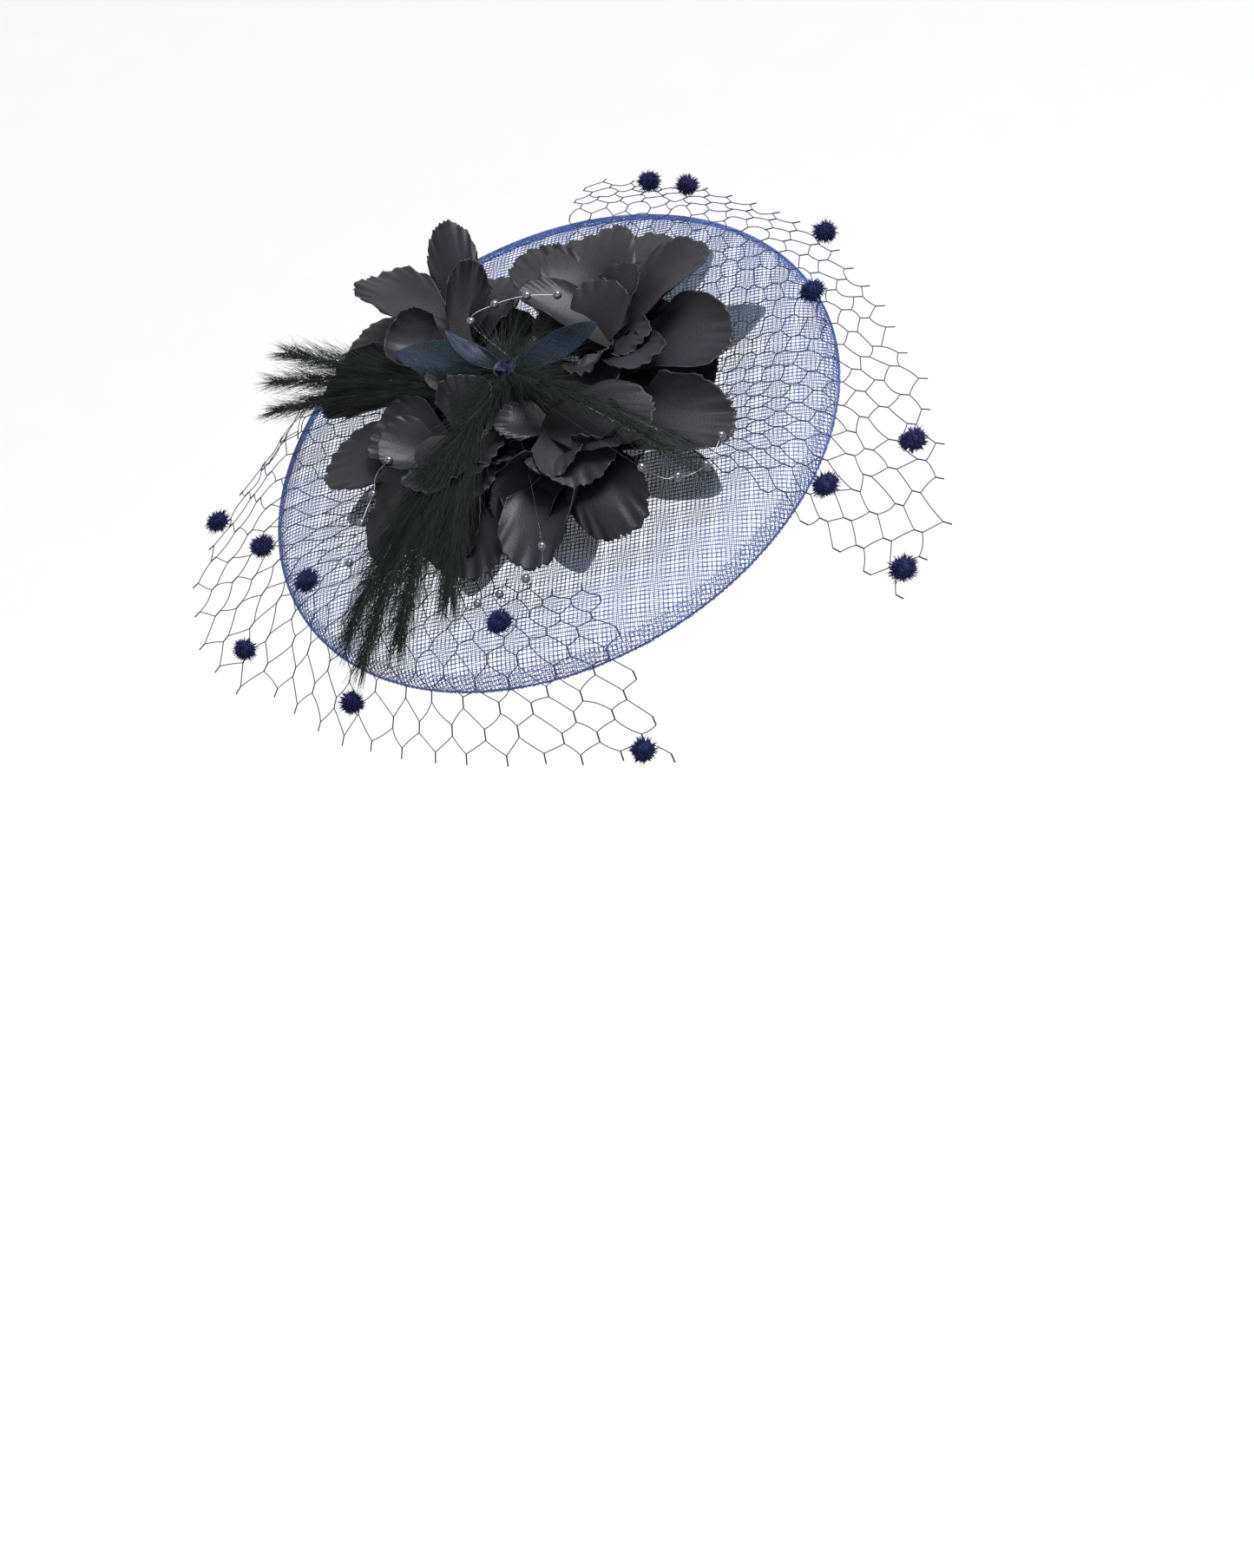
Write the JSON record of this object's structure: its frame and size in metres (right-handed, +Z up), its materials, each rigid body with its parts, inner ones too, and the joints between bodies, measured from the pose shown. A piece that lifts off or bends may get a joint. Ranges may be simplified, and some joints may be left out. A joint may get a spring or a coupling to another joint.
{
  "type": "hatinator",
  "caption": "Round mesh brim with a dense cluster of dark satin blooms, organza leaves, feathers and beaded sprays, fans of dotted veil net and a comb beneath.",
  "frame": {"origin": "middle of the brim's underside, where the comb is sewn on and the wearer's head sits", "axes": "+Z up out of the brim's top face, -Y towards the wearer's front, -X towards the wearer's right; the brim is level, and the tilt at which it is worn is left to the user"},
  "size_m": [0.2971, 0.3177, 0.0702],
  "materials": {
    "crin": "translucent open mesh with a slight sheen",
    "satin": "heat-crimped satin",
    "organza": "sheer, with a fine sparkle",
    "feather": "soft barbs",
    "pearl": "gunmetal pearl on clear nylon",
    "net": "open knotted net",
    "chenille": "fuzzy pile",
    "comb_plastic": "smooth"
  },
  "bodies": {
    "root": {"brim": "crin", "comb": "comb_plastic", "organza_underlay": "organza", "organza_heart": "organza", "bloom_back": "satin", "bloom_right": "satin", "bloom_front": "satin", "bloom_left": "satin", "feather_left": "feather", "feather_front": "feather", "feather_right": "feather", "bead_spray_top": "pearl", "bead_spray_left": "pearl", "bead_spray_front": "pearl", "bead_spray_right": "pearl", "veil_front": "net", "veil_back": "net", "veil_front_dot_1": "chenille", "veil_front_dot_2": "chenille", "veil_front_dot_3": "chenille", "veil_front_dot_4": "chenille", "veil_front_dot_5": "chenille", "veil_front_dot_6": "chenille", "veil_front_dot_7": "chenille", "veil_back_dot_1": "chenille", "veil_back_dot_2": "chenille", "veil_back_dot_3": "chenille", "veil_back_dot_4": "chenille", "veil_back_dot_5": "chenille", "veil_back_dot_6": "chenille", "veil_back_dot_7": "chenille"}
  },
  "joints": []
}
